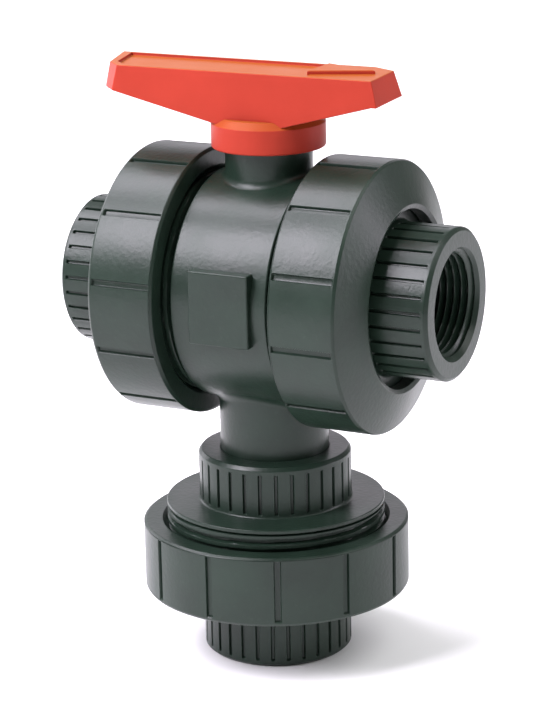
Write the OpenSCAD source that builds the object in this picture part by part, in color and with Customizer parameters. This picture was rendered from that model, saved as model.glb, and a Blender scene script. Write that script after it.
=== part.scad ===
// Three way ball valve with union ends and a wing handle.
// The run lies along X, the stem along +Z, the front faces -Y.
// The origin is the centre of the branch mouth, which the valve stands on.

/* [Run and branch] */
// height of the run axis over the branch mouth
axis_h = 92; // [91:0.5:94]
// run length, mouth to mouth
run_l = 97.4; // [96.4:0.2:98.4]
// waterway radius, full three quarter inch bore
way_r = 9.5; // [8.5:0.1:9.6]

/* [Body] */
// outer radius of the barrel
barrel_r = 28; // [27.6:0.1:28.6]
// half length of the barrel between the union threads
barrel_half = 11; // [10:0.5:12]
// radius of the stem neck
neck_r = 10.5; // [10:0.1:10.8]
// height of the neck's top over the run axis
neck_h = 36.5; // [36:0.1:36.6]
// radius of the branch spigot, three quarter inch pipe size
spigot_r = 13.33; // [13.1:0.01:13.34]
// width of the raised plate on the barrel's front
plate_w = 15.7; // [12:0.1:18]
// height of the raised plate
plate_h = 17.6; // [14:0.1:19]
// how far the plate stands out from the barrel's crown
plate_out = 0.6; // [0.4:0.1:1.2]

/* [Union threads] */
// outer radius of the union thread
union_r = 26.9; // [26.5:0.1:27]
// depth of the union thread
union_depth = 1.3; // [0.8:0.1:1.4]
// spacing of the union thread
union_pitch = 2.4; // [2.4:0.1:2.6]

/* [Union nuts] */
// outer radius of a union nut
nut_r = 32.8; // [32:0.1:34]
// distance from a mouth to the nut's inner rim
nut_rim = 33.6; // [33:0.1:33.8]
// distance from a mouth to the nut's outer shoulder edge
nut_shoulder = 16.75; // [16:0.05:17]
// distance from a mouth to the nut's nose
nut_nose = 12.5; // [12:0.1:13]
// radius of the hole in the nut's nose
nut_hole_r = 21.4; // [20.5:0.1:22]
// width of a grip groove in a nut
grip_w = 1.7; // [1:0.1:2.5]
// depth of a grip groove in a nut
grip_depth = 0.6; // [0.4:0.1:1]
// how far a grip groove stops short of the nut's edges
grip_ends = 0.8; // [0.8:0.1:2]

/* [End connectors] */
// outer radius of a connector over its ribs
hub_r = 18.3; // [18:0.1:18.8]
// depth of the grooves between ribs
rib_depth = 0.8; // [0.5:0.1:1]
// width of the grooves between ribs
rib_gap = 0.85; // [0.6:0.05:1.2]
// outer radius of the union flange
flange_r = 24.6; // [24:0.1:25]
// thickness of the union flange
flange_t = 3; // [2.6:0.1:3.1]

/* [Pipe threads] */
// crest radius of the three quarter inch taper thread at its mouth
thread_r = 11.83; // [11.7:0.01:11.9]
// thread spacing, fourteen to the inch
thread_pitch = 1.814; // [1.8:0.001:1.82]
// width of the groove between two crests
thread_gap = 0.46; // [0.3:0.01:0.48]
// how far the thread reaches in from the mouth
thread_l = 15.4; // [15:0.1:16]

/* [Ball and seats] */
// radius of the ball
ball_r = 17; // [16.9:0.01:17.02]
// clearance between ball and seats, along the seat's axis
seat_gap = 0.2; // [0.16:0.01:0.24]
// radius of the bore that holds ball, seats and carriers
cavity_r = 17.4; // [17.35:0.01:17.45]

/* [Stem] */
// radius of the stem
stem_r = 5; // [4.99:0.01:5.02]
// clearance between the stem and its bore
stem_gap = 0.05; // [0.04:0.01:0.06]

/* [Handle] */
// height of the wing's top over the run axis
wing_top = 53; // [52.5:0.1:54]
// length of the short arm
arm_short = 31.3; // [30:0.1:33]
// length of the long arm
arm_long = 44.6; // [43:0.1:46]
// half width of the wing at its top
wing_half = 9.4; // [9:0.1:10]
// how far the wing's ends and sides lean out on the way down
wing_lean = 1.5; // [1:0.1:2]
// radius of the handle's hub
grip_hub_r = 13.73; // [13.5:0.01:14]
// height of the hub's lower edge over the run axis
grip_hub_low = 34.3; // [34:0.1:34.6]

/* [Hidden] */
$fn = 96;
eps = 0.01;
// clearances
apart = 0.3;
run_fit = 0.1;
neck_fit = 0.4;
joint_fit = 0.02;
// heights over a mouth, shared by the three unions
body_face = 19.7;
conn_face = body_face - apart;
flange_out = conn_face - flange_t;
nut_seat = flange_out - apart;
end_half = run_l / 2 - body_face;
// nuts
nut_bore_r = union_r + apart;
union_root = union_r - union_depth;
grip_count = 12;
nut_edge = 0.5;
nut_lead = 0.8;
// union thread ridges, half widths at foot and crest
ridge_foot = 0.9;
ridge_crest = 0.35;
ridge_bury = 0.5;
// connectors
edge = 0.4;
hub_edge = 0.9;
hub_foot = 0.8;
rib_count = 30;
rib_low = 1.4;
rib_high = 1.6;
tool_over = 2;
// pipe thread
thread_slope = 60;
thread_lap = 0.5;
thread_start = 0.3;
mouth_flare = 1.8;
// seats and carriers
seat_in = way_r + 0.18;
seat_lip = 11.49;
seat_waist = 12.2;
seat_swell = 14;
seat_step = 15.2;
seat_back = 18.2;
carrier_gap = 0.4;
carrier_edge = 0.3;
// O rings: wire radii, and the channels they lie in
wire_small = 0.65;
wire_mid = 0.9;
wire_big = 1.3;
channel_small = 0.8;
channel_mid = 1.1;
back_channel_in = 12.5;
back_channel_w = 2;
face_channel_in = 19.5;
face_channel_w = 2.8;
face_channel_deep = 2.4;
carrier_ring_z = (seat_back + end_half) / 2 + 0.6;
// branch socket and the union head round it
pocket_floor = 21.4;
bottom_ring_z = 19;
socket_floor = 26;
head_top = 38.55;
head_hub_top = 51.4;
head_hub_r = 18.77;
head_rim = 1.5;
head_edge = 0.7;
// raised plate
plate_x = 0.5;
plate_z = 0.8;
plate_back = 6;
// stem
collar_r = 7.2;
collar_low = 17.8;
collar_high = 19.4;
washer_high = 20.75;
stem_shoulder = 20.9;
ring_low_z = 25.5;
ring_high_z = 30.5;
slot_w = 5.2;
slot_l = 10;
slot_floor = 13;
tang_low = 13.2;
tang_w = 5;
tang_l = 9.6;
head_flat = 3.9;
flat_low = 1;
flat_l = 20;
head_end = 46.5;
// stop lug on the neck and its track in the handle
stop_in = 7.4;
stop_out = 9.6;
stop_h = 2;
stop_half = 12;
stop_slack = 0.7;
stop_room = 0.4;
stop_bury = 0.2;
// handle
wing_base = 38;
wing_keel = 39.2;
keel_half = 3;
tip_low = 46.8;
tail_flat = 37.3;
tip_back = 6;
tip_slant = 1.2;
tip_cut = 7.4;
tail_front = -5.1;
tail_slant = 4.6;
tail_cut = 10.3;
hub_ledge = 40.2;
hub_ledge_h = 1.6;
hub_ledge_r = 12;
recess_rim = 1.3;
recess_deep = 0.6;
recess_end = 12;
pointer_l = 15;
pointer_tip = 3;
pointer_half = 6;
pointer_h = 0.9;
pvc = [0.24, 0.27, 0.27];
red = [0.88, 0.25, 0.18];
ptfe = [0.93, 0.92, 0.88];
rubber = [0.06, 0.06, 0.06];

// places a piece drawn from its mouth upward at the right mouth
module at_right() {
  translate([run_l / 2, 0, axis_h]) rotate([0, -90, 0]) children();
}

// places a piece drawn from its mouth upward at the left mouth
module at_left() {
  translate([-run_l / 2, 0, axis_h]) rotate([0, 90, 0]) children();
}

// places a piece drawn along +Z from the ball's centre along +X
module to_right() {
  translate([0, 0, axis_h]) rotate([0, 90, 0]) children();
}

// places a piece drawn along +Z from the ball's centre along -X
module to_left() {
  translate([0, 0, axis_h]) rotate([0, -90, 0]) children();
}

// ring whose wire rests on the inside of radius outer_r, centred at height z
module o_ring(outer_r, wire_r, z) {
  translate([0, 0, z]) rotate_extrude()
    translate([outer_r - wire_r, 0]) circle(r = wire_r, $fn = 32);
}

// a ring shaped cut from inner_r to outer_r, from low to high
module ring_cut(inner_r, outer_r, low, high) {
  translate([0, 0, low]) rotate_extrude()
    translate([inner_r, 0]) square([outer_r - inner_r, high - low]);
}

// ridge rings from low to high, standing on the thread's root
module union_ridges(low, high) {
  crest_r = union_r - eps;
  count = floor((high - low) / union_pitch);
  for (i = [0 : count - 1]) {
    translate([0, 0, low + (i + 0.5) * union_pitch]) rotate_extrude() polygon([
      [union_root - ridge_bury, -ridge_foot], [crest_r, -ridge_crest],
      [crest_r, ridge_crest], [union_root - ridge_bury, ridge_foot]]);
  }
}

// count straight grooves round a surface of radius outer_r
module grooves(count, outer_r, depth, width, low, high) {
  for (i = [0 : count - 1]) {
    rotate([0, 0, i * 360 / count]) translate([outer_r - depth, -width / 2, low])
      cube([depth + tool_over, width, high - low]);
  }
}

module union_nut(phase) {
  rotate([0, 0, phase]) difference() {
    rotate_extrude() polygon([
      [nut_hole_r, nut_nose + nut_edge], [nut_hole_r + nut_edge, nut_nose],
      [nut_r - nut_edge, nut_shoulder - nut_edge / 2], [nut_r, nut_shoulder + nut_edge],
      [nut_r, nut_rim - nut_edge], [nut_r - nut_edge, nut_rim],
      [nut_bore_r + nut_lead, nut_rim], [nut_bore_r, nut_rim - nut_lead],
      [nut_bore_r, nut_seat], [nut_hole_r, nut_seat]]);
    grooves(grip_count, nut_r, grip_depth, grip_w, nut_shoulder + grip_ends,
      nut_rim - grip_ends);
  }
}

// grooves between flat crests, cut as rings at the stated radius
module pipe_thread() {
  groove_deep = thread_gap / 2 / tan(thread_slope / 2);
  turns = floor(thread_l / thread_pitch) - 1;
  translate([0, 0, -eps]) cylinder(r = thread_r, h = thread_l + eps);
  translate([0, 0, -eps])
    cylinder(r1 = thread_r + mouth_flare, r2 = thread_r, h = mouth_flare + eps);
  for (i = [1 : turns]) {
    translate([0, 0, (i + thread_start) * thread_pitch]) rotate_extrude() polygon([
      [thread_r - thread_lap, -thread_gap / 2], [thread_r, -thread_gap / 2],
      [thread_r + groove_deep, 0], [thread_r, thread_gap / 2],
      [thread_r - thread_lap, thread_gap / 2]]);
  }
}

module end_connector(phase) {
  difference() {
    rotate_extrude() polygon([
      [way_r, 0], [hub_r - hub_edge, 0], [hub_r, hub_edge], [hub_r, flange_out - hub_foot],
      [hub_r + hub_foot, flange_out], [flange_r - edge, flange_out],
      [flange_r, flange_out + edge], [flange_r, conn_face - edge],
      [flange_r - edge, conn_face], [way_r, conn_face]]);
    rotate([0, 0, phase])
      grooves(rib_count, hub_r, rib_depth, rib_gap, rib_low, flange_out - rib_high);
    pipe_thread();
  }
}

// height over the centre at which a seat clears the ball at radius r
function over_ball(r) = sqrt(ball_r * ball_r - r * r) + seat_gap;

// seat ring drawn along +Z from the ball's centre
module side_seat() {
  outer_r = cavity_r - run_fit;
  rotate_extrude() polygon([
    [seat_in, over_ball(seat_in)], [seat_lip, over_ball(seat_lip)],
    [seat_waist, over_ball(seat_lip)], [seat_swell, seat_step], [outer_r, seat_step],
    [outer_r, seat_back], [seat_in, seat_back]]);
}

module seat_ring() {
  o_ring(back_channel_in + back_channel_w - run_fit, wire_mid, seat_back + wire_mid);
}

module seat_carrier() {
  outer_r = cavity_r - run_fit;
  low = seat_back + run_fit;
  high = end_half - carrier_gap;
  difference() {
    rotate_extrude() polygon([
      [way_r, low], [outer_r - carrier_edge, low], [outer_r, low + carrier_edge],
      [outer_r, high - carrier_edge], [outer_r - carrier_edge, high], [way_r, high]]);
    ring_cut(back_channel_in, back_channel_in + back_channel_w, seat_back,
      seat_back + 2 * wire_mid);
    ring_cut(cavity_r - 2 * wire_mid, cavity_r + tool_over, carrier_ring_z - channel_mid,
      carrier_ring_z + channel_mid);
  }
}

module carrier_ring() {
  o_ring(cavity_r - 2 * joint_fit, wire_mid - joint_fit, carrier_ring_z);
}

// groove in a union face, drawn with the face at the origin and the body above
module face_groove() {
  ring_cut(face_channel_in, face_channel_in + face_channel_w, -eps, face_channel_deep);
}

module face_ring() {
  o_ring(face_channel_in + face_channel_w - run_fit, wire_big, face_channel_deep - wire_big);
}

module union_end() {
  translate([0, 0, body_face]) cylinder(r = union_root, h = end_half);
  union_ridges(body_face, run_l / 2 - barrel_half);
}

module barrel() {
  translate([0, 0, axis_h]) rotate([0, 90, 0]) rotate_extrude() polygon([
    [0, -barrel_half], [barrel_r - edge, -barrel_half], [barrel_r, edge - barrel_half],
    [barrel_r, barrel_half - edge], [barrel_r - edge, barrel_half], [0, barrel_half]]);
}

module raised_plate() {
  translate([plate_x - plate_w / 2, -barrel_r - plate_out, axis_h + plate_z - plate_h / 2])
    cube([plate_w, plate_back, plate_h]);
}

// sector of a ring standing at height low, centred on the -Y side
module ring_sector(inner_r, outer_r, low, height, half_angle) {
  translate([0, 0, low]) rotate([0, 0, -90 - half_angle])
    rotate_extrude(angle = 2 * half_angle)
      translate([inner_r, 0]) square([outer_r - inner_r, height]);
}

// limits the handle to half a turn
module stop_lug() {
  ring_sector(stop_in, stop_out, axis_h + neck_h - stop_bury, stop_h + stop_bury, stop_half);
}

module stem_bore() {
  translate([0, 0, axis_h]) cylinder(r = collar_r + apart, h = stem_shoulder);
  translate([0, 0, axis_h]) cylinder(r = stem_r + stem_gap, h = neck_h + tool_over);
}

module valve_body() {
  spigot_end = socket_floor + apart;
  color(pvc) difference() {
    union() {
      barrel();
      at_right() union_end();
      at_left() union_end();
      translate([0, 0, axis_h]) cylinder(r = neck_r, h = neck_h);
      translate([0, 0, spigot_end]) cylinder(r = spigot_r, h = axis_h - spigot_end);
      raised_plate();
      stop_lug();
    }
    to_right() translate([0, 0, -end_half - 1]) cylinder(r = cavity_r, h = 2 * end_half + 2);
    at_right() translate([0, 0, body_face]) face_groove();
    at_left() translate([0, 0, body_face]) face_groove();
    stem_bore();
    translate([0, 0, socket_floor]) cylinder(r = way_r, h = axis_h - socket_floor);
    translate([0, 0, axis_h - pocket_floor])
      cylinder(r = seat_waist + stem_gap, h = pocket_floor);
  }
}

module ball() {
  color(pvc) translate([0, 0, axis_h]) difference() {
    sphere(r = ball_r);
    rotate([0, 90, 0]) cylinder(r = way_r, h = ball_r + tool_over);
    rotate([180, 0, 0]) cylinder(r = way_r, h = ball_r + tool_over);
    sphere(r = way_r);
    translate([-slot_l / 2, -slot_w / 2, slot_floor]) cube([slot_l, slot_w, ball_r]);
  }
}

module stem() {
  color(pvc) translate([0, 0, axis_h]) difference() {
    union() {
      translate([-tang_l / 2, -tang_w / 2, tang_low])
        cube([tang_l, tang_w, collar_low - tang_low + eps]);
      translate([0, 0, collar_low]) cylinder(r = collar_r, h = collar_high - collar_low);
      translate([0, 0, collar_low]) cylinder(r = stem_r, h = head_end - collar_low);
    }
    stem_channel(ring_low_z);
    stem_channel(ring_high_z);
    stem_flats(neck_h + flat_low, head_flat);
  }
}

module stem_channel(z) {
  ring_cut(stem_r - 2 * wire_mid, stem_r + tool_over, z - channel_mid, z + channel_mid);
}

// cuts the two flats of a stem head whose half thickness is half
module stem_flats(low, half) {
  for (side = [-1, 1]) {
    translate([0, side * (half + flat_l / 2), low + flat_l / 2]) cube(flat_l, center = true);
  }
}

module stem_o_ring_lower() {
  color(rubber) translate([0, 0, axis_h]) o_ring(stem_r, wire_mid, ring_low_z);
}

module stem_o_ring_upper() {
  color(rubber) translate([0, 0, axis_h]) o_ring(stem_r, wire_mid, ring_high_z);
}

module stem_thrust_washer() {
  color(ptfe) translate([0, 0, axis_h])
    ring_cut(stem_r + stem_gap, collar_r, collar_high, washer_high);
}

// wing's outline seen from above, lean further out all round
module wing_plan(lean) {
  side = wing_half + lean / 4;
  polygon([
    [arm_short + lean, -side], [arm_short - tip_slant + lean, tip_back + lean],
    [arm_short - tip_cut + lean, side], [-arm_long - lean, side],
    [tail_slant - arm_long - lean, tail_front], [tail_cut - arm_long - lean, -side]]);
}

// wing's outline seen from the front, deepest over the hub
module wing_front() {
  reach = arm_long + arm_short;
  polygon([
    [-reach, tip_low], [-tail_flat, tip_low], [-keel_half, wing_keel], [keel_half, wing_keel],
    [arm_short, tip_low], [reach, tip_low], [reach, wing_top], [-reach, wing_top]]);
}

// wing_lean is the lean at the tips' lower edge, here carried on to the base
module wing() {
  lean = wing_lean * (wing_top - wing_base) / (wing_top - tip_low);
  intersection() {
    hull() {
      translate([0, 0, wing_top - eps]) linear_extrude(height = eps) wing_plan(0);
      translate([0, 0, wing_base]) linear_extrude(height = eps) wing_plan(lean);
    }
    rotate([90, 0, 0]) linear_extrude(height = 2 * arm_long, center = true) wing_front();
  }
}

module grip_hub() {
  translate([0, 0, grip_hub_low]) cylinder(r = grip_hub_r, h = hub_ledge - grip_hub_low);
  translate([0, 0, hub_ledge]) cylinder(r1 = grip_hub_r, r2 = hub_ledge_r, h = hub_ledge_h);
}

module handle() {
  neck_room = neck_r + neck_fit;
  color(red) translate([0, 0, axis_h]) difference() {
    union() {
      wing();
      grip_hub();
      pointer();
    }
    top_recess();
    translate([0, 0, grip_hub_low - 1])
      cylinder(r = neck_room, h = neck_h + neck_fit + 1 - grip_hub_low);
    stop_track();
    stem_socket();
  }
}

// shallow floor inside a rim, from the tail to the pointer
module top_recess() {
  side = wing_half - recess_rim;
  translate([0, 0, wing_top - recess_deep]) linear_extrude(height = tool_over) polygon([
    [arm_short - pointer_l - pointer_tip, -side], [arm_short - pointer_l - pointer_tip, side],
    [2 * recess_rim - arm_long, side], [tail_slant + recess_rim - arm_long, tail_front],
    [tail_cut - arm_long, -side]]);
}

// raised arrow on the short arm, over the open run port
module pointer() {
  tip = arm_short - pointer_tip;
  translate([0, 0, wing_top - pointer_h]) linear_extrude(height = 2 * pointer_h) polygon([
    [tip - pointer_l, -pointer_half], [tip, 0], [tip - pointer_l, pointer_half]]);
}

// the stop lug's track: half a turn longer than the lug
module stop_track() {
  rotate([0, 0, 180 + 90]) ring_sector(stop_in - stop_room, stop_out + stop_room, neck_h,
    stop_h + 2 * stop_room, 90 + stop_half + stop_slack);
}

module stem_socket() {
  difference() {
    translate([0, 0, neck_h]) cylinder(r = stem_r + stem_gap, h = head_end - neck_h + apart);
    stem_flats(neck_h + flat_low + stop_bury, head_flat + stem_gap);
  }
}

module seat_right() {
  color(ptfe) to_right() side_seat();
}

module seat_left() {
  color(ptfe) to_left() side_seat();
}

module seat_o_ring_right() {
  color(rubber) to_right() seat_ring();
}

module seat_o_ring_left() {
  color(rubber) to_left() seat_ring();
}

module seat_carrier_right() {
  color(pvc) to_right() seat_carrier();
}

module seat_carrier_left() {
  color(pvc) to_left() seat_carrier();
}

module carrier_o_ring_right() {
  color(rubber) to_right() carrier_ring();
}

module carrier_o_ring_left() {
  color(rubber) to_left() carrier_ring();
}

module face_o_ring_right() {
  color(rubber) at_right() translate([0, 0, body_face]) face_ring();
}

module face_o_ring_left() {
  color(rubber) at_left() translate([0, 0, body_face]) face_ring();
}

module bottom_seat() {
  low = run_fit - pocket_floor;
  color(ptfe) translate([0, 0, axis_h]) difference() {
    rotate_extrude() polygon([
      [seat_in, -over_ball(seat_in)], [seat_lip, -over_ball(seat_lip)],
      [seat_waist, -over_ball(seat_lip)], [seat_waist, low], [seat_in, low]]);
    ring_cut(seat_waist - 2 * wire_small, seat_waist + tool_over,
      -bottom_ring_z - channel_small, channel_small - bottom_ring_z);
  }
}

module bottom_seat_o_ring() {
  color(rubber) translate([0, 0, axis_h]) o_ring(seat_waist, wire_small, -bottom_ring_z);
}

module branch_union_head() {
  color(pvc) difference() {
    union() {
      rotate_extrude() polygon([
        [way_r, body_face], [union_root, body_face], [union_root, head_top - edge],
        [head_hub_r, head_top - edge], [head_hub_r, head_hub_top - head_edge],
        [head_hub_r - head_edge, head_hub_top], [way_r, head_hub_top]]);
      union_ridges(body_face, head_top - head_rim);
      translate([0, 0, head_top - head_rim]) cylinder(r = union_r, h = head_rim);
    }
    rotate([0, 0, -2.5]) grooves(rib_count, head_hub_r, rib_depth, rib_gap,
      head_top + rib_low, head_hub_top - rib_high);
    translate([0, 0, socket_floor]) cylinder(r = spigot_r + joint_fit, h = head_hub_top);
    translate([0, 0, body_face]) face_groove();
  }
}

module branch_face_o_ring() {
  color(rubber) translate([0, 0, body_face]) face_ring();
}

module end_connector_right() {
  color(pvc) at_right() end_connector(-0.8);
}

module end_connector_left() {
  color(pvc) at_left() end_connector(1);
}

module branch_end_connector() {
  color(pvc) end_connector(4.7);
}

module union_nut_right() {
  color(pvc) at_right() union_nut(19.2);
}

module union_nut_left() {
  color(pvc) at_left() union_nut(20.9);
}

module branch_union_nut() {
  color(pvc) union_nut(-2.8);
}

valve_body();
ball();
stem();
stem_o_ring_lower();
stem_o_ring_upper();
stem_thrust_washer();
handle();
seat_right();
seat_left();
seat_o_ring_right();
seat_o_ring_left();
seat_carrier_right();
seat_carrier_left();
carrier_o_ring_right();
carrier_o_ring_left();
face_o_ring_right();
face_o_ring_left();
bottom_seat();
bottom_seat_o_ring();
branch_union_head();
branch_face_o_ring();
end_connector_right();
end_connector_left();
branch_end_connector();
union_nut_right();
union_nut_left();
branch_union_nut();
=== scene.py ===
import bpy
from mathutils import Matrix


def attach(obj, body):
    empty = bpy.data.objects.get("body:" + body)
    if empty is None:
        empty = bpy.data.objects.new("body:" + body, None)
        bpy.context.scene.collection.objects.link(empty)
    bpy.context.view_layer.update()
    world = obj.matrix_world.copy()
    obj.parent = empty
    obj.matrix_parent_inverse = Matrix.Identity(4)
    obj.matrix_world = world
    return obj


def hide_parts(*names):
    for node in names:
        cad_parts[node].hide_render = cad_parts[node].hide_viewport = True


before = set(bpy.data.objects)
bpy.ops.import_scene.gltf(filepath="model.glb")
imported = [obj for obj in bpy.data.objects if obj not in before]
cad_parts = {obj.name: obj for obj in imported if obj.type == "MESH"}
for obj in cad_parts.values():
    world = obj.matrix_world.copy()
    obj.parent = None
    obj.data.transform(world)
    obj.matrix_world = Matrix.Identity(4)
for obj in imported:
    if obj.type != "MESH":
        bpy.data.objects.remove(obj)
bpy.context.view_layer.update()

import math

import bmesh
import bpy
import numpy as np
from mathutils import Matrix, Vector

# ---------------------------------------------------------------- sizes, in millimetres

MM = 0.001
AXIS_H = 92.0
HALF_RUN = 48.7
WAY_R = 9.5

# unions, with heights over a port's mouth
BODY_FACE = 19.7
CONN_FACE = 19.4
FLANGE_OUT = 16.4
FLANGE_R = 24.6
UNION_PITCH = 2.4
UNION_ROOT = 25.6
UNION_CREST = 26.9
RIDGE_CREST = 0.44  # shares of a turn
RIDGE_FLANK = 0.1
THREAD_STEP = 0.16  # between the rows of a union thread

# union nuts
NUT_R = 32.8
NUT_RIM = 33.6
NUT_SHOULDER = 16.75
NUT_NOSE = 12.5
NUT_HOLE = 21.4
NUT_SEAT = 16.1
NUT_BORE = UNION_CREST + 0.3
NUT_LEAD = 1.0
NUT_CREST = 0.24  # shares of a turn
NUT_FLANK = 0.12
GRIP_COUNT = 12
GRIP_HALF = 1.35  # half width, in degrees
GRIP_DEPTH = 0.8
GRIP_ENDS = 0.75

# end connectors and their pipe threads
HUB_R = 18.3
RIB_COUNT = 30
RIB_HALF = 1.28  # half width, in degrees
RIB_DEPTH = 0.75
RIB_LOW = 1.7
RIB_HIGH = 14.6
PIPE_PITCH = 1.814
PIPE_CREST = 11.83
PIPE_DEPTH = 1.45
PIPE_ROOT = 0.05  # shares of a turn
PIPE_FLANK = 0.44
PIPE_TAPER = 1 / 64  # radius lost per length
PIPE_STEP = 0.12
PIPE_END = 15.4
MOUTH_R = PIPE_CREST + 1.3
MOUTH_H = 0.6
MOUTH_SLOPE = 0.85

# branch union head
HEAD_TOP = 38.55
HEAD_HUB_TOP = 51.4
HEAD_HUB_R = 18.77
HEAD_RIB_HALF = 1.25
HEAD_PHASE = -2.5
SOCKET_R = 13.35
SOCKET_FLOOR = 26.0

# valve body
BARREL_R = 28.0
BARREL_HALF = 12.6
CAVITY_R = 17.4
NECK_R = 10.5
NECK_H = 36.5
SPIGOT_R = 13.33
SPIGOT_END = AXIS_H - 26.3
PLATE_FRONT = -29.4
PLATE_BACK = -24.0  # inside the barrel's wall
STEM_BORE = 5.05
COLLAR_BORE = 7.5
COLLAR_TOP = 20.9
POCKET_R = 12.25
POCKET_DEPTH = 21.4

# handle
WING_TOP = 53.0
WING_BASE = 38.0
WING_SIDE = 9.4
WING_LEAN = 3.6
ARM_SHORT = 31.3
ARM_LONG = 44.6
TIP_LOW = 46.8
RECESS_DEPTH = 0.7
RECESS_SIDE = 8.1
POINTER_H = 0.9
GRIP_R = 13.73
GRIP_LOW = 34.3
GRIP_TOP = 41.8
STEM_TOP = 46.8

# a groove's end: how far along it, and the share of its full depth there
GRIP_RAMP = ((-0.2, 0.0), (0.0, 0.2), (0.25, 0.9), (0.5, 1.0))
RIB_RAMP = ((-0.15, 0.0), (0.0, 0.3), (0.2, 0.9), (0.5, 1.0))
RAMP_ROOM = 3.0

# how close two radii count as the same, and how long a straight run has to be for more rows
NEAR = 0.01
LONG = 5.0

# ---------------------------------------------------------------- meshes


def mesh_object(name, verts, faces, matrix=None):
    """An object from points in millimetres, its faces turned outwards."""
    pts = np.asarray(verts, dtype=float) * MM
    if matrix is not None:
        m = np.array(matrix)
        pts = pts @ m[:3, :3].T + m[:3, 3]
    mesh = bpy.data.meshes.new(name)
    mesh.from_pydata(pts.tolist(), [], faces)
    bm = bmesh.new()
    bm.from_mesh(mesh)
    if bm.calc_volume(signed=True) < 0:
        bmesh.ops.reverse_faces(bm, faces=bm.faces)
    bm.to_mesh(mesh)
    bm.free()
    obj = bpy.data.objects.new(name, mesh)
    bpy.context.scene.collection.objects.link(obj)
    return obj


def soften(obj, angle=32):
    """Smooth faces with sharp edges kept, and normals that hold flat faces flat."""
    mesh = obj.data
    mesh.polygons.foreach_set("use_smooth", [True] * len(mesh.polygons))
    mesh.set_sharp_from_angle(angle=math.radians(angle))
    mod = obj.modifiers.new("normals", "WEIGHTED_NORMAL")
    mod.keep_sharp = True
    mod.weight = 80


def rounded(points, steps=4):
    """A closed outline of (r, z) points from (r, z, fillet) corners."""
    out = []
    count = len(points)
    for i, (r, z, fillet) in enumerate(points):
        here = Vector((r, z))
        before = Vector(points[i - 1][:2]) - here
        after = Vector(points[(i + 1) % count][:2]) - here
        turn = before.angle(after)
        if fillet <= 0 or turn > 3.1:
            out.append((r, z))
            continue
        back = min(fillet / math.tan(turn / 2), before.length * 0.49, after.length * 0.49)
        radius = back * math.tan(turn / 2)
        start = here + before.normalized() * back
        end = here + after.normalized() * back
        middle = here + (before.normalized() + after.normalized()).normalized() * (
            radius / math.sin(turn / 2))
        a, b = start - middle, end - middle
        sweep = a.angle(b)
        for k in range(steps + 1):
            t = k / steps
            w0 = math.sin((1 - t) * sweep) / math.sin(sweep)
            w1 = math.sin(t * sweep) / math.sin(sweep)
            p = middle + a * w0 + b * w1
            out.append((p.x, p.y))
    return out


def ring_faces(rows, cols):
    """Quads of a grid that closes on itself both ways."""
    faces = []
    for i in range(rows):
        k = (i + 1) % rows
        for j in range(cols):
            m = (j + 1) % cols
            faces.append((i * cols + j, k * cols + j, k * cols + m, i * cols + m))
    return faces


def ring(name, r, z, theta, matrix=None):
    """A closed ring from radii and heights given as rows by columns."""
    x = r * np.cos(theta)[None, :]
    y = r * np.sin(theta)[None, :]
    verts = np.stack([x, y, z], axis=-1).reshape(-1, 3)
    return mesh_object(name, verts, ring_faces(*r.shape), matrix)


def solid(name, r, z, theta):
    """A closed solid of rows by columns with a point at each end of its axis."""
    rows, cols = r.shape
    x = r * np.cos(theta)[None, :]
    y = r * np.sin(theta)[None, :]
    verts = np.stack([x, y, z], axis=-1).reshape(-1, 3).tolist()
    faces = []
    for i in range(rows - 1):
        for j in range(cols):
            m = (j + 1) % cols
            faces.append((i * cols + j, (i + 1) * cols + j, (i + 1) * cols + m, i * cols + m))
    low, high = len(verts), len(verts) + 1
    verts.append([0, 0, float(z[0].mean())])
    verts.append([0, 0, float(z[-1].mean())])
    for j in range(cols):
        m = (j + 1) % cols
        faces.append((low, j, m))
        faces.append((high, (rows - 1) * cols + m, (rows - 1) * cols + j))
    return mesh_object(name, verts, faces)


def grooved_angles(count, half_width, edge, between, phase):
    """Angles and groove depth factors round a circle with count grooves.

    half_width and edge, the width of a groove's side, are in degrees, and between is the
    number of plain columns from one groove to the next.
    """
    theta, depth = [], []
    step = 360.0 / count
    for i in range(count):
        base = phase + i * step
        inner = half_width - edge
        outer = half_width + edge
        for a, g in ((-outer, 0.0), (-half_width, 0.25), (-inner, 0.9), (-inner * 0.6, 1.0),
                     (inner * 0.6, 1.0), (inner, 0.9), (half_width, 0.25), (outer, 0.0)):
            theta.append(base + a)
            depth.append(g)
        for k in range(1, between + 1):
            theta.append(base + outer + (step - 2 * outer) * k / (between + 1))
            depth.append(0.0)
    return np.radians(theta), np.array(depth)


def ridge(phase, crest, flank):
    """1 on a thread's crest, 0 at its root, for a phase of 0 to 1 with the crest at a half."""
    away = np.abs((phase % 1.0) - 0.5)
    return np.clip((crest / 2 + flank - away) / flank, 0.0, 1.0)


def fade(z, low, high, run):
    """1 inside low to high, falling to 0 at each end over run."""
    return np.clip(np.minimum(z - low, high - z) / run, 0.0, 1.0)


def span(low, high, step):
    """Heights from low to high, about step apart."""
    return np.linspace(low, high, max(2, int(round(abs(high - low) / step)) + 1))


def groove_rows(radius, low, high, ramp, step):
    """Rows up a grooved land, close together where the grooves start and stop."""
    start = [(radius, low + along, share, False) for along, share in ramp]
    middle = [(radius, z, 1.0, False) for z in span(low + RAMP_ROOM, high - RAMP_ROOM, step)]
    end = [(radius, high - along, share, False) for along, share in reversed(ramp)]
    return start + middle + end


def thread_rows(radius, start, end, step):
    """Rows between two heights, not counting them, close enough for a thread."""
    return [(radius, z, 0.0, True) for z in span(start, end, step)[1:-1]]


def union_rows(start, end):
    """Rows between two heights for a union's outside thread."""
    return thread_rows(UNION_ROOT, start, end, THREAD_STEP)


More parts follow.
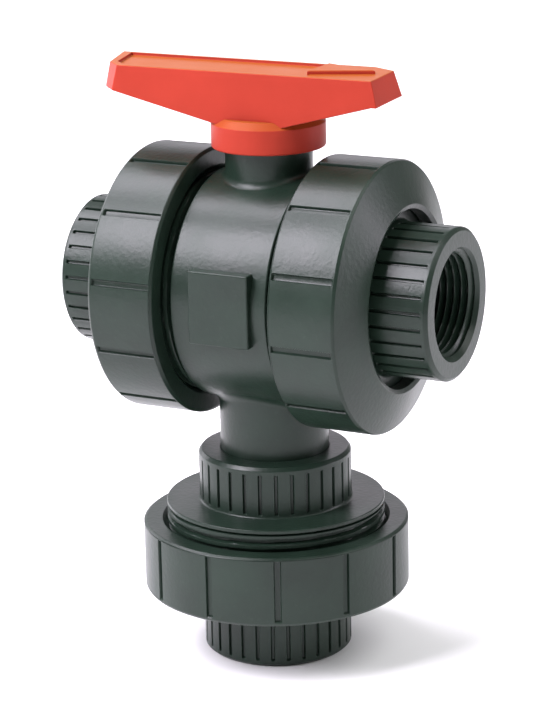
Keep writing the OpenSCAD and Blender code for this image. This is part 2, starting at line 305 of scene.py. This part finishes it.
def with_rows(outline, *stretches):
    """An outline's points as (r, z, groove share, threaded) rows.

    Each stretch is the radius of a long straight run of the outline that needs more rows,
    and what makes them from the run's two heights.
    """
    rows = []
    for k, (r, z) in enumerate(outline):
        rows.append((r, z, 0.0, False))
        r_next, z_next = outline[(k + 1) % len(outline)]
        for radius, more in stretches:
            if abs(r - radius) < NEAR and abs(r_next - radius) < NEAR and abs(z_next - z) > LONG:
                rows += more(z, z_next)
    return rows


def around(rows, theta):
    """Radius and height of rows at every angle, and each row's groove share and thread flag."""
    r, z, share, threaded = (np.array(column)[:, None] for column in zip(*rows))
    flat = np.zeros(len(theta))[None, :]
    return r + flat, z + flat, share, threaded


def union_thread(z, theta, end, run):
    """Radius of a union's outside thread, which starts at the body's face and fades at end."""
    turn = z / UNION_PITCH - theta / (2 * math.pi)
    lift = ridge(turn, RIDGE_CREST, RIDGE_FLANK) * fade(z, BODY_FACE + 0.1, end, run)
    return UNION_ROOT + (UNION_CREST - UNION_ROOT) * lift


# the local frame of each port: its mouth at the origin, the valve along +Z
AT_BRANCH = Matrix.Identity(4)
AT_RIGHT = Matrix.Translation((HALF_RUN * MM, 0, AXIS_H * MM)) @ Matrix.Rotation(
    math.radians(-90), 4, "Y")
AT_LEFT = Matrix.Translation((-HALF_RUN * MM, 0, AXIS_H * MM)) @ Matrix.Rotation(
    math.radians(90), 4, "Y")

# ---------------------------------------------------------------- union nuts


def union_nut(name, matrix, phase):
    """A nut with a conical nose, grip grooves and a thread inside, turned by phase degrees."""
    outline = rounded([
        (NUT_BORE, NUT_SEAT + NUT_LEAD, 0),
        (NUT_BORE, NUT_SEAT, 0.4),
        (NUT_HOLE, NUT_SEAT, 0.2),
        (NUT_HOLE, NUT_NOSE + 0.5, 0.25),
        (NUT_HOLE + 1.15, NUT_NOSE + 0.05, 0.4),
        (NUT_R - 0.35, NUT_SHOULDER - 0.25, 0.45),
        (NUT_R, NUT_SHOULDER + 0.35, 0.3),
        (NUT_R, NUT_RIM - 0.5, 0.4),
        (NUT_R - 0.7, NUT_RIM, 0.5),
        (NUT_BORE + NUT_LEAD, NUT_RIM, 0.3),
        (NUT_BORE, NUT_RIM - NUT_LEAD, 0)])
    theta, groove = grooved_angles(GRIP_COUNT, GRIP_HALF, 0.2, 9, phase)
    land = groove_rows(NUT_R, NUT_SHOULDER + GRIP_ENDS, NUT_RIM - GRIP_ENDS, GRIP_RAMP, 3.0)
    rows = with_rows(outline, (NUT_R, lambda low, high: land))
    rows += thread_rows(NUT_BORE, NUT_RIM - NUT_LEAD, NUT_SEAT + NUT_LEAD, THREAD_STEP)
    r, z, share, threaded = around(rows, theta)
    r = r - GRIP_DEPTH * share * groove[None, :]
    turn = z / UNION_PITCH - theta[None, :] / (2 * math.pi)
    cut = ridge(turn + 0.5, NUT_CREST, NUT_FLANK) * fade(z, NUT_SEAT + 2.2, NUT_RIM - 0.9, 1.2)
    r = np.where(threaded, NUT_BORE - (UNION_CREST - UNION_ROOT) * cut, r)
    obj = ring(name, r, z, theta, matrix)
    soften(obj)
    return obj


# ---------------------------------------------------------------- end connectors


def end_connector(name, matrix, phase):
    """A connector with a ribbed hub, a flange and a taper thread in its mouth."""
    outline = rounded([
        (WAY_R, PIPE_END, 0),
        (WAY_R, CONN_FACE, 0.3),
        (FLANGE_R, CONN_FACE, 0.3),
        (FLANGE_R, FLANGE_OUT, 0.4),
        (HUB_R, FLANGE_OUT, 0.8),
        (HUB_R, 0.75, 0.5),
        (HUB_R - 0.9, 0.0, 0.35),
        (MOUTH_R + 0.45, 0.0, 0.2),
        (MOUTH_R, MOUTH_H, 0)])
    theta, groove = grooved_angles(RIB_COUNT, RIB_HALF, 0.3, 2, phase)
    land = groove_rows(HUB_R, RIB_LOW, RIB_HIGH, RIB_RAMP, 2.2)[::-1]
    rows = with_rows(outline, (HUB_R, lambda high, low: land))
    rows += thread_rows(PIPE_CREST, MOUTH_H, PIPE_END, PIPE_STEP)
    r, z, share, threaded = around(rows, theta)
    r = r - RIB_DEPTH * share * groove[None, :]
    turn = z / PIPE_PITCH - theta[None, :] / (2 * math.pi)
    crest = PIPE_CREST - (z - 1.0) * PIPE_TAPER
    cut = ridge(turn, PIPE_ROOT, PIPE_FLANK) * fade(z, -2.0, 14.2, 1.2)
    mouth = MOUTH_R - (z - MOUTH_H) * MOUTH_SLOPE
    inner = np.maximum(crest + PIPE_DEPTH * cut, mouth)
    # the last millimetre steps in to the waterway
    step_in = np.clip(z - PIPE_END + 1.0, 0, 1)
    inner = inner * (1 - step_in) + WAY_R * step_in
    r = np.where(threaded, inner, r)
    obj = ring(name, r, z, theta, matrix)
    soften(obj)
    return obj


# ---------------------------------------------------------------- branch union head


def branch_head(name):
    """The branch's ribbed socket and threaded head, one ring round the branch axis."""
    outline = rounded([
        (WAY_R, SOCKET_FLOOR, 0),
        (SOCKET_R, SOCKET_FLOOR, 0),
        (SOCKET_R, HEAD_HUB_TOP, 0.3),
        (HEAD_HUB_R - 0.75, HEAD_HUB_TOP, 0.35),
        (HEAD_HUB_R, HEAD_HUB_TOP - 0.9, 0.4),
        (HEAD_HUB_R, HEAD_TOP, 0.6),
        (UNION_CREST, HEAD_TOP, 0.3),
        (UNION_CREST, HEAD_TOP - 0.95, 0.15),
        (UNION_ROOT, HEAD_TOP - 1.35, 0),
        (UNION_ROOT, BODY_FACE + 0.3, 0),
        (UNION_ROOT - 0.4, BODY_FACE, 0.2),
        (WAY_R, BODY_FACE, 0.2)])
    theta, groove = grooved_angles(RIB_COUNT, HEAD_RIB_HALF, 0.3, 2, HEAD_PHASE)
    land = groove_rows(HEAD_HUB_R, HEAD_TOP + 0.9, HEAD_HUB_TOP - 2.0, RIB_RAMP, 2.0)[::-1]
    rows = with_rows(outline, (HEAD_HUB_R, lambda high, low: land), (UNION_ROOT, union_rows))
    r, z, share, threaded = around(rows, theta)
    r = r - RIB_DEPTH * share * groove[None, :]
    r = np.where(threaded, union_thread(z, theta[None, :], HEAD_TOP + 1.0, 1.5), r)
    obj = ring(name, r, z, theta)
    soften(obj)
    return obj


# ---------------------------------------------------------------- valve body


def apply_boolean(target, cutter, operation):
    """Joins, cuts or intersects target with cutter, which is then removed."""
    mod = target.modifiers.new("boolean", "BOOLEAN")
    mod.operation = operation
    mod.solver = "EXACT"
    mod.object = cutter
    bpy.context.view_layer.update()
    graph = bpy.context.evaluated_depsgraph_get()
    mesh = bpy.data.meshes.new_from_object(target.evaluated_get(graph))
    target.modifiers.clear()
    old = target.data
    target.data = mesh
    bpy.data.meshes.remove(old)
    bpy.data.objects.remove(cutter)


def clean(obj):
    """Merges the doubled points and slivers that a boolean leaves."""
    bm = bmesh.new()
    bm.from_mesh(obj.data)
    bmesh.ops.remove_doubles(bm, verts=bm.verts, dist=0.003 * MM)
    bmesh.ops.dissolve_degenerate(bm, edges=bm.edges, dist=0.003 * MM)
    bm.to_mesh(obj.data)
    bm.free()


def body_run():
    """The barrel with its two threaded ends, a ring round the run axis."""
    face = HALF_RUN - BODY_FACE
    half = rounded([
        (CAVITY_R, 0.0, 0),
        (CAVITY_R, face, 0.5),
        (UNION_ROOT, face, 0.3),
        (UNION_ROOT, BARREL_HALF, 0.3),
        (BARREL_R, BARREL_HALF, 0.45),
        (BARREL_R, 0.0, 0)])
    right = with_rows(half[1:-1], (UNION_ROOT, union_rows))
    left = [(r, -x, share, threaded) for r, x, share, threaded in right[::-1]]
    rows = right + [(BARREL_R, x, 0.0, False) for x in (8.0, 4.0, 0.0, -4.0, -8.0)]
    rows += left + [(CAVITY_R, x, 0.0, False) for x in (-20.0, -10.0, 0.0, 10.0, 20.0)]
    theta = np.radians(np.arange(0, 360, 2.5))
    r, x, _, threaded = around(rows, theta)
    # theta is measured from +Z towards +Y, as at the right port; mirrored at the left
    local_z = HALF_RUN - np.abs(x)
    local_t = np.where(x > 0, theta[None, :], math.pi - theta[None, :])
    thread_end = HALF_RUN - BARREL_HALF - 0.3
    r = np.where(threaded, union_thread(local_z, local_t, thread_end, 1.0), r)
    y = r * np.sin(theta)[None, :]
    z = AXIS_H + r * np.cos(theta)[None, :]
    verts = np.stack([x, y, z], axis=-1).reshape(-1, 3)
    return mesh_object("valve_body_run", verts, ring_faces(*r.shape))


def flared(name, radius, flare, up, top, edge):
    """A round post out of the barrel, its foot flared to meet it, up or down (up = 1 or -1)."""
    theta = np.radians(np.arange(0, 360, 3.0))
    side = np.sin(theta)

    def barrel_height(r):
        return np.sqrt(np.maximum(BARREL_R ** 2 - (r * side) ** 2, 0.0))

    foot = barrel_height(radius + flare) - 0.12
    start = barrel_height(radius) + flare * 0.95
    bend = barrel_height(radius) + 0.02
    # two rows inside the barrel's wall, the flare, the post, its rounded edge
    rs = [np.full_like(theta, radius + flare - 0.8), np.full_like(theta, radius + flare - 0.5)]
    hs = [np.full_like(theta, 19.5), foot - 1.0]
    for t in np.linspace(0, 1, 7):
        rs.append(((1 - t) ** 2) * (radius + flare) + 2 * t * (1 - t) * (radius + 0.1)
                  + t * t * radius + 0 * theta)
        hs.append(((1 - t) ** 2) * foot + 2 * t * (1 - t) * bend + t * t * start)
    rs.append(np.full_like(theta, radius))
    hs.append(np.full_like(theta, (start.max() + top) / 2))
    for a in np.linspace(0, math.pi / 2, 4):
        rs.append(np.full_like(theta, radius - edge + edge * math.cos(a)))
        hs.append(np.full_like(theta, top - edge + edge * math.sin(a)))
    return solid(name, np.array(rs), AXIS_H + up * np.array(hs), theta)


def rounded_box(name, low, high, bevel, segments=3):
    """A box between two corners, with all its edges rounded."""
    bm = bmesh.new()
    bmesh.ops.create_cube(bm, size=1.0)
    low, high = Vector(low), Vector(high)
    for v in bm.verts:
        v.co = ((low + high) / 2 + v.co * (high - low)) * MM
    bmesh.ops.bevel(bm, geom=list(bm.edges), offset=bevel * MM, segments=segments,
                    profile=0.5, affect="EDGES")
    mesh = bpy.data.meshes.new(name)
    bm.to_mesh(mesh)
    bm.free()
    obj = bpy.data.objects.new(name, mesh)
    bpy.context.scene.collection.objects.link(obj)
    return obj


def cylinder(name, radius, low, high, cols=96):
    """A plain upright cylinder round the stem's axis."""
    theta = np.radians(np.arange(0, 360, 360.0 / cols))
    r = np.full((2, cols), radius)
    z = np.array([[low] * cols, [high] * cols], dtype=float)
    return solid(name, r, z, theta)


def valve_body():
    """The barrel, neck, spigot and plate in one piece, bored for the branch, ball and stem."""
    body = body_run()
    body.name = "valve_body_visual"
    apply_boolean(body, flared("neck", NECK_R, 1.7, 1.0, NECK_H, 0.3), "UNION")
    apply_boolean(body, flared("spigot", SPIGOT_R, 1.9, -1.0, SPIGOT_END, 0.5), "UNION")
    plate = rounded_box("plate", (-7.05, PLATE_FRONT, AXIS_H - 8.0),
                        (8.65, PLATE_BACK, AXIS_H + 9.6), 0.5)
    apply_boolean(body, plate, "UNION")
    for name, radius, low, high in (
            ("way", WAY_R, -AXIS_H, 0.0),
            ("pocket", POCKET_R, -POCKET_DEPTH, 0.0),
            ("collar_space", COLLAR_BORE, 0.0, COLLAR_TOP),
            ("stem_space", STEM_BORE, 0.0, NECK_H + 8.5)):
        apply_boolean(body, cylinder(name, radius, AXIS_H + low, AXIS_H + high), "DIFFERENCE")
    clean(body)
    soften(body, 28)
    return body


# ---------------------------------------------------------------- handle


def prism(name, outline, low, high, matrix):
    """A prism from an outline of (u, v) points, extruded from low to high along w."""
    n = len(outline)
    verts = [(u, v, low) for u, v in outline] + [(u, v, high) for u, v in outline]
    faces = [tuple(range(n))[::-1], tuple(range(n, 2 * n))]
    faces += [(i, (i + 1) % n, n + (i + 1) % n, n + i) for i in range(n)]
    return mesh_object(name, verts, faces, matrix)


def bevel_edges(obj, width, segments, angle=20):
    """Rounds every edge that turns by more than angle degrees."""
    mod = obj.modifiers.new("bevel", "BEVEL")
    mod.width = width * MM
    mod.segments = segments
    mod.limit_method = "ANGLE"
    mod.angle_limit = math.radians(angle)
    mod.harden_normals = False
    mod.miter_outer = "MITER_ARC"
    graph = bpy.context.evaluated_depsgraph_get()
    mesh = bpy.data.meshes.new_from_object(obj.evaluated_get(graph))
    obj.modifiers.clear()
    old = obj.data
    obj.data = mesh
    bpy.data.meshes.remove(old)


def tapered(name, top, base, top_z, base_z, matrix):
    """The convex solid between an outline above and an outline below."""
    bm = bmesh.new()
    for outline, z in ((top, top_z), (base, base_z)):
        for x, y in outline:
            bm.verts.new(matrix @ (Vector((x, y, z)) * MM))
    hull = bmesh.ops.convex_hull(bm, input=bm.verts)
    bmesh.ops.delete(bm, geom=hull["geom_interior"], context="VERTS")
    bmesh.ops.dissolve_limit(bm, angle_limit=math.radians(2), verts=bm.verts, edges=bm.edges)
    mesh = bpy.data.meshes.new(name)
    bm.to_mesh(mesh)
    bm.free()
    obj = bpy.data.objects.new(name, mesh)
    bpy.context.scene.collection.objects.link(obj)
    return obj


def wing_plan(lean):
    """The wing's outline from above, lean further out all round."""
    side = WING_SIDE + lean / 4
    return [(ARM_SHORT + lean, -side), (ARM_SHORT - 1.2 + lean, 6.0 + lean),
            (ARM_SHORT - 7.4 + lean, side), (-ARM_LONG - lean, side),
            (4.6 - ARM_LONG - lean, -5.1), (9.0 - ARM_LONG - lean, -side)]


def handle():
    """The wing with its recess and raised arrow, and the hub that grips the stem."""
    flat = Matrix.Translation((0, 0, AXIS_H * MM))
    wing = tapered("handle_visual", wing_plan(0.0), wing_plan(WING_LEAN), WING_TOP, WING_BASE, flat)
    front = prism("front", [
        (-60, TIP_LOW), (-37.3, TIP_LOW), (-3, 39.2), (3, 39.2), (ARM_SHORT, TIP_LOW),
        (60, TIP_LOW), (60, WING_TOP + 5), (-60, WING_TOP + 5)],
        -20, 20, flat @ Matrix.Rotation(math.radians(90), 4, "X"))
    apply_boolean(wing, front, "INTERSECT")
    bevel_edges(wing, 0.5, 3)
    recess = prism("recess", [
        (14.0, -RECESS_SIDE), (14.0, RECESS_SIDE), (3.0 - ARM_LONG, RECESS_SIDE),
        (6.4 - ARM_LONG, -4.6), (10.4 - ARM_LONG, -RECESS_SIDE)],
        WING_TOP - RECESS_DEPTH, WING_TOP + 2, flat)
    bevel_edges(recess, 0.35, 2)
    apply_boolean(wing, recess, "DIFFERENCE")
    hub_rows = rounded([
        (0.001, GRIP_LOW, 0), (GRIP_R, GRIP_LOW, 0.5), (GRIP_R, GRIP_TOP - 1.6, 0.3),
        (12.0, GRIP_TOP, 0.2), (0.001, GRIP_TOP, 0)])
    theta = np.radians(np.arange(0, 360, 3.0))
    r, z, _, _ = around([(r, z, 0.0, False) for r, z in hub_rows[1:-1]], theta)
    apply_boolean(wing, solid("hub", r, z + AXIS_H, theta), "UNION")
    arrow = prism("arrow", [(13.3, -6.0), (28.3, 0.0), (13.3, 6.0)],
                  WING_TOP - POINTER_H, WING_TOP + POINTER_H, flat)
    bevel_edges(arrow, 0.4, 3)
    apply_boolean(wing, arrow, "UNION")
    for name, radius, high in (("neck_space", NECK_R + 0.4, NECK_H + 0.4),
                               ("stem_space", STEM_BORE, STEM_TOP)):
        apply_boolean(wing, cylinder(name, radius, AXIS_H + 30, AXIS_H + high), "DIFFERENCE")
    clean(wing)
    soften(wing, 28)
    return wing


# ---------------------------------------------------------------- build

# a nut's or connector's last value is how far it is turned about its port, in degrees
nut_r = union_nut("union_nut_right_visual", AT_RIGHT, 19.2)
nut_l = union_nut("union_nut_left_visual", AT_LEFT, 20.9)
nut_b = union_nut("branch_union_nut_visual", AT_BRANCH, -2.8)
con_r = end_connector("end_connector_right_visual", AT_RIGHT, -0.8)
con_l = end_connector("end_connector_left_visual", AT_LEFT, 1.0)
con_b = end_connector("branch_end_connector_visual", AT_BRANCH, 4.7)
head = branch_head("branch_union_head_visual")
body = valve_body()
grip = handle()

for piece, node, rides, slot in (
        (nut_r, "union_nut_right", "right_nut", "pvc"),
        (nut_l, "union_nut_left", "left_nut", "pvc"),
        (nut_b, "branch_union_nut", "branch_nut", "pvc"),
        (con_r, "end_connector_right", "right_connector", "pvc"),
        (con_l, "end_connector_left", "left_connector", "pvc"),
        (con_b, "branch_end_connector", "branch_connector", "pvc"),
        (head, "branch_union_head", "housing", "pvc"),
        (body, "valve_body", "housing", "pvc"),
        (grip, "handle", "handle_and_ball", "handle_plastic")):
    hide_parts(node)
    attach(piece, rides)

# ---------------------------------------------------------------- materials

MOTTLE_SCALE = 55.0
GRAIN_SCALE = 900.0
GRAIN_HEIGHT = 0.00006  # metres


def link_noise(tree, coords, scale, detail):
    """A noise node over the object's own coordinates."""
    noise = tree.nodes.new("ShaderNodeTexNoise")
    noise.inputs["Scale"].default_value = scale
    noise.inputs["Detail"].default_value = detail
    tree.links.new(coords.outputs["Object"], noise.inputs["Vector"])
    return noise


def link_range(tree, value, from_low, from_high, to_low=0.0, to_high=1.0):
    """The output of a value's range mapped on to another."""
    node = tree.nodes.new("ShaderNodeMapRange")
    node.inputs["From Min"].default_value = from_low
    node.inputs["From Max"].default_value = from_high
    node.inputs["To Min"].default_value = to_low
    node.inputs["To Max"].default_value = to_high
    tree.links.new(value, node.inputs["Value"])
    return node.outputs["Result"]


def link_mix(tree, factor, colour, other):
    """A colour output mixed by factor with another, plain colour."""
    node = tree.nodes.new("ShaderNodeMix")
    node.data_type = "RGBA"
    node.inputs["B"].default_value = (*other, 1.0)
    tree.links.new(factor, node.inputs["Factor"])
    tree.links.new(colour, node.inputs["A"])
    return node.outputs["Result"]


def material(name, base, rough, mottle=0.12, grain=0.1, speck=0.0, sheen=0.5, top=None):
    """A moulded plastic or rubber.

    mottle is how far its colour drifts, grain the depth of its fine bumps, speck how pale
    the grain's high points are, and top, if another, a painted highlight: the colour painted on
    faces that look up, as if lit from above.
    """
    mat = bpy.data.materials.new(name)
    mat.use_nodes = True
    tree = mat.node_tree
    tree.nodes.clear()
    out = tree.nodes.new("ShaderNodeOutputMaterial")
    shader = tree.nodes.new("ShaderNodeBsdfPrincipled")
    tree.links.new(shader.outputs["BSDF"], out.inputs["Surface"])
    shader.inputs["Specular IOR Level"].default_value = sheen
    coords = tree.nodes.new("ShaderNodeTexCoord")
    cloud = link_noise(tree, coords, MOTTLE_SCALE, 5.0)
    cloud.inputs["Roughness"].default_value = 0.6
    fine = link_noise(tree, coords, GRAIN_SCALE, 3.0)
    ramp = tree.nodes.new("ShaderNodeValToRGB")
    for element, place, factor in zip(ramp.color_ramp.elements, (0.3, 0.72),
                                      (1 - mottle, 1 + mottle)):
        element.position = place
        element.color = (*[min(1.0, c * factor) for c in base], 1.0)
    tree.links.new(cloud.outputs["Fac"], ramp.inputs["Fac"])
    colour = ramp.outputs["Color"]
    if speck > 0:
        pale = [min(1.0, c * 2.2 + 0.01) for c in base]
        dots = link_range(tree, fine.outputs["Fac"], 0.62, 0.75, 0.0, speck)
        colour = link_mix(tree, dots, colour, pale)
    # painted light: faces that look up are mixed towards the top colour, standing in for the light
    # from above
    if top is not None:
        facing = tree.nodes.new("ShaderNodeNewGeometry")
        axes = tree.nodes.new("ShaderNodeSeparateXYZ")
        tree.links.new(facing.outputs["Normal"], axes.inputs["Vector"])
        painted_top_light = link_range(tree, axes.outputs["Z"], 0.35, 0.95)
        colour = link_mix(tree, painted_top_light, colour, top)
    tree.links.new(colour, shader.inputs["Base Color"])
    roughness = link_range(tree, cloud.outputs["Fac"], 0.25, 0.75, rough - 0.05, rough + 0.07)
    tree.links.new(roughness, shader.inputs["Roughness"])
    bump = tree.nodes.new("ShaderNodeBump")
    bump.inputs["Strength"].default_value = grain
    bump.inputs["Distance"].default_value = GRAIN_HEIGHT
    tree.links.new(fine.outputs["Fac"], bump.inputs["Height"])
    tree.links.new(bump.outputs["Normal"], shader.inputs["Normal"])
    return mat


pvc = material("pvc_dark_grey", (0.011, 0.022, 0.015), 0.33, mottle=0.28, grain=0.9, speck=0.14,
               sheen=0.29)
# the handle's top colour is painted light, its upward faces coloured as if lit from above
red = material("handle_red", (0.345, 0.034, 0.020), 0.40, mottle=0.08, grain=0.3, sheen=0.07,
               top=(0.295, 0.066, 0.010))
ptfe = material("ptfe_white", (0.80, 0.79, 0.74), 0.42, mottle=0.04, grain=0.1)
rubber = material("seal_black", (0.012, 0.012, 0.013), 0.6, mottle=0.2, grain=0.4)


def paint(obj, mat):
    """Gives an object one material, in place of what it has."""
    obj.data.materials.clear()
    obj.data.materials.append(mat)


for piece in (nut_r, nut_l, nut_b, con_r, con_l, con_b, head, body):
    paint(piece, pvc)
paint(grip, red)
for node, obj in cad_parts.items():
    if "o_ring" in node:
        paint(obj, rubber)
    elif "seat" in node and "carrier" not in node or "washer" in node:
        paint(obj, ptfe)
    elif node == "handle":
        paint(obj, red)
    else:
        paint(obj, pvc)

# ---------------------------------------------------------------- floor and light

# lengths here and below are in metres
FLOOR_HALF = 6.0
FLOOR_DROP = 0.0001
FLOOR_WHITE = 0.93
WORLD_STRENGTH = 0.30
LIGHT_COLOUR = (1.0, 0.945, 1.05)
LIGHT_CENTRE = (0, 0, 0.08)

floor_mat = bpy.data.materials.new("floor_pale")
floor_mat.use_nodes = True
floor_shader = floor_mat.node_tree.nodes["Principled BSDF"]
floor_shader.inputs["Base Color"].default_value = (FLOOR_WHITE, FLOOR_WHITE, FLOOR_WHITE, 1.0)
floor_shader.inputs["Roughness"].default_value = 0.7
floor_mesh = bpy.data.meshes.new("floor")
floor_corners = [(-FLOOR_HALF, -FLOOR_HALF, 0), (FLOOR_HALF, -FLOOR_HALF, 0),
                 (FLOOR_HALF, FLOOR_HALF, 0), (-FLOOR_HALF, FLOOR_HALF, 0)]
floor_mesh.from_pydata(floor_corners, [], [(0, 1, 2, 3)])
floor = bpy.data.objects.new("floor", floor_mesh)
bpy.context.scene.collection.objects.link(floor)
floor.location = (0, 0, -FLOOR_DROP)
floor_mesh.materials.append(floor_mat)

world = bpy.data.worlds.new("studio")
bpy.context.scene.world = world
world.use_nodes = True
world.node_tree.nodes["Background"].inputs["Color"].default_value = (1.0, 1.0, 1.0, 1.0)
world.node_tree.nodes["Background"].inputs["Strength"].default_value = WORLD_STRENGTH


def soft_light(name, where, size, power):
    """A rectangular light that faces the valve, its size in metres and its power in watts."""
    data = bpy.data.lights.new(name, "AREA")
    data.shape = "RECTANGLE"
    data.size, data.size_y = size
    data.energy = power
    data.color = LIGHT_COLOUR
    lamp = bpy.data.objects.new(name, data)
    bpy.context.scene.collection.objects.link(lamp)
    lamp.location = where
    lamp.rotation_mode = "QUATERNION"
    lamp.rotation_quaternion = (Vector(LIGHT_CENTRE) - Vector(where)).to_track_quat("-Z", "Y")


soft_light("front_high", (-0.51, -0.66, 0.84), (0.46, 0.66), 21.0)
soft_light("overhead", (-0.51, 0.06, 1.06), (0.46, 0.80), 13.0)
soft_light("left_back", (-0.85, 0.30, 0.25), (0.25, 0.60), 2.2)
soft_light("right_back", (0.85, 0.55, 0.25), (0.25, 0.60), 3.5)
soft_light("back", (-0.60, 1.15, 0.48), (1.40, 0.50), 3.0)
sun_data = bpy.data.lights.new("sky", "SUN")
sun_data.energy = 1.5
sun_data.angle = math.radians(50)
sun = bpy.data.objects.new("sky", sun_data)
bpy.context.scene.collection.objects.link(sun)
sun.rotation_mode = "QUATERNION"
sun.rotation_quaternion = Vector((-0.62, -0.10, -1.0)).to_track_quat("-Z", "Y")

# ---------------------------------------------------------------- camera

CAMERA_AZIMUTH = math.radians(27.41)
CAMERA_ELEVATION = math.radians(15.97)
CAMERA_ROLL = math.radians(-1.206)
CAMERA_DISTANCE = 0.6181
AIM_SIDE = -0.00161  # along the picture's width
AIM_HEIGHT = 0.0736
CAMERA_LENS = 127.46  # mm, on a sensor 36 mm wide

aim = Vector((AIM_SIDE * math.cos(CAMERA_AZIMUTH), AIM_SIDE * math.sin(CAMERA_AZIMUTH),
              AIM_HEIGHT))
away = Vector((math.sin(CAMERA_AZIMUTH) * math.cos(CAMERA_ELEVATION),
               -math.cos(CAMERA_AZIMUTH) * math.cos(CAMERA_ELEVATION),
               math.sin(CAMERA_ELEVATION)))
right = (-away).cross(Vector((0, 0, 1))).normalized()
up = right.cross(-away)
right, up = (right * math.cos(CAMERA_ROLL) + up * math.sin(CAMERA_ROLL),
             up * math.cos(CAMERA_ROLL) - right * math.sin(CAMERA_ROLL))
cam_data = bpy.data.cameras.new("camera")
cam_data.lens = CAMERA_LENS
cam_data.sensor_width = 36.0
cam_data.clip_start = 0.01
cam_data.clip_end = 50
cam = bpy.data.objects.new("camera", cam_data)
bpy.context.scene.collection.objects.link(cam)
rotation = Matrix((right, up, away)).transposed().to_4x4()
cam.matrix_world = Matrix.Translation(aim + away * CAMERA_DISTANCE) @ rotation
bpy.context.scene.camera = cam
bpy.context.scene.view_settings.view_transform = "Standard"
